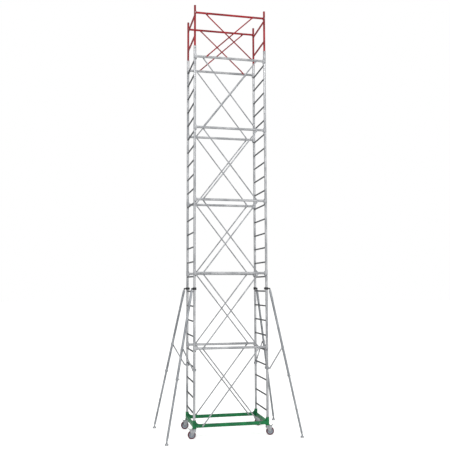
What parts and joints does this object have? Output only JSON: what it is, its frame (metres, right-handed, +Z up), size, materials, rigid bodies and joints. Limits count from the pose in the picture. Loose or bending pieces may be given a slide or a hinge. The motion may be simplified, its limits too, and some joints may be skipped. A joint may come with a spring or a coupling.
{
  "type": "mobile tower scaffold",
  "caption": "Tall rolling scaffold tower: ladder frames, stringers, crossed braces, guardrail, braked swivel castors and telescopic outriggers.",
  "frame": {"origin": "on the floor, at the middle of the tower's footprint", "axes": "+X along the long side to the right, +Y towards the rear, +Z up"},
  "size_m": [2.84, 1.8164, 8.846],
  "materials": {
    "zinc_steel": "galvanised, satin",
    "bright_zinc": "bright zinc plating",
    "green_paint": "gloss powder coat",
    "red_paint": "gloss powder coat",
    "black_paint": "satin paint",
    "black_plastic": "moulded",
    "grey_nylon": "moulded",
    "maroon_rubber": "matt rubber"
  },
  "bodies": {
    "tower": {"base_frame": "green_paint", "castor_stems": "zinc_steel", "ladder_frames_1": "zinc_steel", "ladder_frames_2": "zinc_steel", "ladder_frames_3": "zinc_steel", "ladder_frames_4": "zinc_steel", "ladder_frames_5": "zinc_steel", "stringers_front": "zinc_steel", "stringers_rear": "zinc_steel", "cross_braces_front": "zinc_steel", "cross_braces_rear": "zinc_steel", "guard_end_left": "red_paint", "guard_end_right": "red_paint", "guardrails": "red_paint", "guard_braces": "red_paint", "top_sleeves": "zinc_steel", "post_caps": "black_plastic", "locking_pins": "bright_zinc", "brace_bolts": "bright_zinc"},
    "castor_front_left": {"castor_fork_front_left": "bright_zinc"},
    "wheel_front_left": {"castor_hub_front_left": "grey_nylon", "castor_tyre_front_left": "maroon_rubber"},
    "brake_front_left": {"castor_brake_front_left": "bright_zinc"},
    "swing_clamp_front_left": {"outrigger_clamp_front_left": "black_paint"},
    "leg_front_left": {"outrigger_leg_front_left": "zinc_steel"},
    "extension_front_left": {"outrigger_extension_front_left": "zinc_steel"},
    "foot_front_left": {"outrigger_foot_front_left": "bright_zinc"},
    "strut_front_left": {"outrigger_strut_front_left": "zinc_steel"},
    "lower_clamp_front_left": {"strut_clamp_front_left": "bright_zinc"},
    "castor_front_right": {"castor_fork_front_right": "bright_zinc"},
    "wheel_front_right": {"castor_hub_front_right": "grey_nylon", "castor_tyre_front_right": "maroon_rubber"},
    "brake_front_right": {"castor_brake_front_right": "bright_zinc"},
    "swing_clamp_front_right": {"outrigger_clamp_front_right": "black_paint"},
    "leg_front_right": {"outrigger_leg_front_right": "zinc_steel"},
    "extension_front_right": {"outrigger_extension_front_right": "zinc_steel"},
    "foot_front_right": {"outrigger_foot_front_right": "bright_zinc"},
    "strut_front_right": {"outrigger_strut_front_right": "zinc_steel"},
    "lower_clamp_front_right": {"strut_clamp_front_right": "bright_zinc"},
    "castor_rear_left": {"castor_fork_rear_left": "bright_zinc"},
    "wheel_rear_left": {"castor_hub_rear_left": "grey_nylon", "castor_tyre_rear_left": "maroon_rubber"},
    "brake_rear_left": {"castor_brake_rear_left": "bright_zinc"},
    "swing_clamp_rear_left": {"outrigger_clamp_rear_left": "black_paint"},
    "leg_rear_left": {"outrigger_leg_rear_left": "zinc_steel"},
    "extension_rear_left": {"outrigger_extension_rear_left": "zinc_steel"},
    "foot_rear_left": {"outrigger_foot_rear_left": "bright_zinc"},
    "strut_rear_left": {"outrigger_strut_rear_left": "zinc_steel"},
    "lower_clamp_rear_left": {"strut_clamp_rear_left": "bright_zinc"},
    "castor_rear_right": {"castor_fork_rear_right": "bright_zinc"},
    "wheel_rear_right": {"castor_hub_rear_right": "grey_nylon", "castor_tyre_rear_right": "maroon_rubber"},
    "brake_rear_right": {"castor_brake_rear_right": "bright_zinc"},
    "swing_clamp_rear_right": {"outrigger_clamp_rear_right": "black_paint"},
    "leg_rear_right": {"outrigger_leg_rear_right": "zinc_steel"},
    "extension_rear_right": {"outrigger_extension_rear_right": "zinc_steel"},
    "foot_rear_right": {"outrigger_foot_rear_right": "bright_zinc"},
    "strut_rear_right": {"outrigger_strut_rear_right": "zinc_steel"},
    "lower_clamp_rear_right": {"strut_clamp_rear_right": "bright_zinc"}
  },
  "joints": [
    {"name": "castor_swivel_front_left", "type": "hinge", "parent": "tower", "child": "castor_front_left", "pos_m": [-0.75, -0.45, 0.18], "axis": [0, 0, 1], "continuous": true},
    {"name": "wheel_spin_front_left", "type": "hinge", "parent": "castor_front_left", "child": "wheel_front_left", "pos_m": [-0.798, -0.45, 0.08], "axis": [0, 1, 0], "continuous": true},
    {"name": "brake_press_front_left", "type": "hinge", "parent": "castor_front_left", "child": "brake_front_left", "pos_m": [-0.826, -0.45, 0.1767], "axis": [0, -1, 0], "range_deg": [0, 18]},
    {"name": "outrigger_swing_front_left", "type": "hinge", "parent": "tower", "child": "swing_clamp_front_left", "pos_m": [-0.75, -0.45, 2.93], "axis": [0, 0, 1], "range_deg": [-31, 54]},
    {"name": "leg_fold_front_left", "type": "hinge", "parent": "swing_clamp_front_left", "child": "leg_front_left", "pos_m": [-0.80535, -0.48595, 2.93], "axis": [0.5446, -0.8387, 0], "range_deg": [0, 11]},
    {"name": "leg_extend_front_left", "type": "slide", "parent": "leg_front_left", "child": "extension_front_left", "axis": [-0.1803, -0.1171, -0.9766], "range_m": [-1.05, 0.25]},
    {"name": "foot_tilt_front_left", "type": "hinge", "parent": "extension_front_left", "child": "foot_front_left", "pos_m": [-1.33707, -0.83125, 0.05], "axis": [0.5446, -0.8387, 0], "range_deg": [-20, 20]},
    {"name": "strut_fold_front_left", "type": "hinge", "parent": "leg_front_left", "child": "strut_front_left", "pos_m": [-1.00142, -0.66097, 1.75], "axis": [0.5446, -0.8387, 0], "range_deg": [-39.32, 0]},
    {"name": "lower_clamp_level_front_left", "type": "hinge", "parent": "strut_front_left", "child": "lower_clamp_front_left", "pos_m": [-0.78357, -0.51949, 1.325], "axis": [0.5446, -0.8387, 0], "range_deg": [0, 28.32]},
    {"name": "castor_swivel_front_right", "type": "hinge", "parent": "tower", "child": "castor_front_right", "pos_m": [0.75, -0.45, 0.18], "axis": [0, 0, 1], "continuous": true},
    {"name": "wheel_spin_front_right", "type": "hinge", "parent": "castor_front_right", "child": "wheel_front_right", "pos_m": [0.798, -0.45, 0.08], "axis": [0, 1, 0], "continuous": true},
    {"name": "brake_press_front_right", "type": "hinge", "parent": "castor_front_right", "child": "brake_front_right", "pos_m": [0.826, -0.45, 0.1767], "axis": [0, 1, 0], "range_deg": [0, 18]},
    {"name": "outrigger_swing_front_right", "type": "hinge", "parent": "tower", "child": "swing_clamp_front_right", "pos_m": [0.75, -0.45, 2.93], "axis": [0, 0, -1], "range_deg": [-28, 57]},
    {"name": "leg_fold_front_right", "type": "hinge", "parent": "swing_clamp_front_right", "child": "leg_front_right", "pos_m": [0.80716, -0.483, 2.93], "axis": [0.5, 0.866, 0], "range_deg": [0, 11]},
    {"name": "leg_extend_front_right", "type": "slide", "parent": "leg_front_right", "child": "extension_front_right", "axis": [0.1862, -0.1075, -0.9766], "range_m": [-1.05, 0.25]},
    {"name": "foot_tilt_front_right", "type": "hinge", "parent": "extension_front_right", "child": "foot_front_right", "pos_m": [1.35622, -0.8, 0.05], "axis": [0.5, 0.866, 0], "range_deg": [-20, 20]},
    {"name": "strut_fold_front_right", "type": "hinge", "parent": "leg_front_right", "child": "strut_front_right", "pos_m": [1.01212, -0.64752, 1.75], "axis": [0.5, 0.866, 0], "range_deg": [-39.32, 0]},
    {"name": "lower_clamp_level_front_right", "type": "hinge", "parent": "strut_front_right", "child": "lower_clamp_front_right", "pos_m": [0.78716, -0.51764, 1.325], "axis": [0.5, 0.866, 0], "range_deg": [0, 28.32]},
    {"name": "castor_swivel_rear_left", "type": "hinge", "parent": "tower", "child": "castor_rear_left", "pos_m": [-0.75, 0.45, 0.18], "axis": [0, 0, 1], "continuous": true},
    {"name": "wheel_spin_rear_left", "type": "hinge", "parent": "castor_rear_left", "child": "wheel_rear_left", "pos_m": [-0.798, 0.45, 0.08], "axis": [0, 1, 0], "continuous": true},
    {"name": "brake_press_rear_left", "type": "hinge", "parent": "castor_rear_left", "child": "brake_rear_left", "pos_m": [-0.826, 0.45, 0.1767], "axis": [0, -1, 0], "range_deg": [0, 18]},
    {"name": "outrigger_swing_rear_left", "type": "hinge", "parent": "tower", "child": "swing_clamp_rear_left", "pos_m": [-0.75, 0.45, 2.93], "axis": [0, 0, -1], "range_deg": [-18, 67]},
    {"name": "leg_fold_rear_left", "type": "hinge", "parent": "swing_clamp_rear_left", "child": "leg_rear_left", "pos_m": [-0.81202, 0.47257, 2.93], "axis": [-0.342, -0.9397, 0], "range_deg": [0, 11]},
    {"name": "leg_extend_rear_left", "type": "slide", "parent": "leg_rear_left", "child": "extension_rear_left", "axis": [-0.202, 0.0735, -0.9766], "range_m": [-1.05, 0.25]},
    {"name": "foot_tilt_rear_left", "type": "hinge", "parent": "extension_rear_left", "child": "foot_rear_left", "pos_m": [-1.40779, 0.68941, 0.05], "axis": [-0.342, -0.9397, 0], "range_deg": [-20, 20]},
    {"name": "strut_fold_rear_left", "type": "hinge", "parent": "leg_rear_left", "child": "strut_rear_left", "pos_m": [-1.04244, 0.59901, 1.75], "axis": [-0.342, -0.9397, 0], "range_deg": [-39.32, 0]},
    {"name": "lower_clamp_level_rear_left", "type": "hinge", "parent": "strut_rear_left", "child": "lower_clamp_rear_left", "pos_m": [-0.79834, 0.51016, 1.325], "axis": [-0.342, -0.9397, 0], "range_deg": [0, 28.32]},
    {"name": "castor_swivel_rear_right", "type": "hinge", "parent": "tower", "child": "castor_rear_right", "pos_m": [0.75, 0.45, 0.18], "axis": [0, 0, 1], "continuous": true},
    {"name": "wheel_spin_rear_right", "type": "hinge", "parent": "castor_rear_right", "child": "wheel_rear_right", "pos_m": [0.798, 0.45, 0.08], "axis": [0, 1, 0], "continuous": true},
    {"name": "brake_press_rear_right", "type": "hinge", "parent": "castor_rear_right", "child": "brake_rear_right", "pos_m": [0.826, 0.45, 0.1767], "axis": [0, 1, 0], "range_deg": [0, 18]},
    {"name": "outrigger_swing_rear_right", "type": "hinge", "parent": "tower", "child": "swing_clamp_rear_right", "pos_m": [0.75, 0.45, 2.93], "axis": [0, 0, 1], "range_deg": [-39, 46]},
    {"name": "leg_fold_rear_right", "type": "hinge", "parent": "swing_clamp_rear_right", "child": "leg_rear_right", "pos_m": [0.79981, 0.4933, 2.93], "axis": [-0.6561, 0.7547, 0], "range_deg": [0, 11]},
    {"name": "leg_extend_rear_right", "type": "slide", "parent": "leg_rear_right", "child": "extension_rear_right", "axis": [0.1623, 0.141, -0.9766], "range_m": [-1.05, 0.25]},
    {"name": "foot_tilt_rear_right", "type": "hinge", "parent": "extension_rear_right", "child": "foot_rear_right", "pos_m": [1.2783, 0.90924, 0.05], "axis": [-0.6561, 0.7547, 0], "range_deg": [-20, 20]},
    {"name": "strut_fold_rear_right", "type": "hinge", "parent": "leg_rear_right", "child": "strut_rear_right", "pos_m": [0.96962, 0.69391, 1.75], "axis": [-0.6561, 0.7547, 0], "range_deg": [-39.32, 0]},
    {"name": "lower_clamp_level_rear_right", "type": "hinge", "parent": "strut_rear_right", "child": "lower_clamp_rear_right", "pos_m": [0.77357, 0.52349, 1.325], "axis": [-0.6561, 0.7547, 0], "range_deg": [0, 28.32]}
  ],
  "couplings": [
    {"joint": "strut_fold_front_left", "follows": "leg_fold_front_left", "ratio": -3.57},
    {"joint": "lower_clamp_level_front_left", "follows": "leg_fold_front_left", "ratio": 2.57},
    {"joint": "strut_fold_front_right", "follows": "leg_fold_front_right", "ratio": -3.57},
    {"joint": "lower_clamp_level_front_right", "follows": "leg_fold_front_right", "ratio": 2.57},
    {"joint": "strut_fold_rear_left", "follows": "leg_fold_rear_left", "ratio": -3.57},
    {"joint": "lower_clamp_level_rear_left", "follows": "leg_fold_rear_left", "ratio": 2.57},
    {"joint": "strut_fold_rear_right", "follows": "leg_fold_rear_right", "ratio": -3.57},
    {"joint": "lower_clamp_level_rear_right", "follows": "leg_fold_rear_right", "ratio": 2.57}
  ]
}
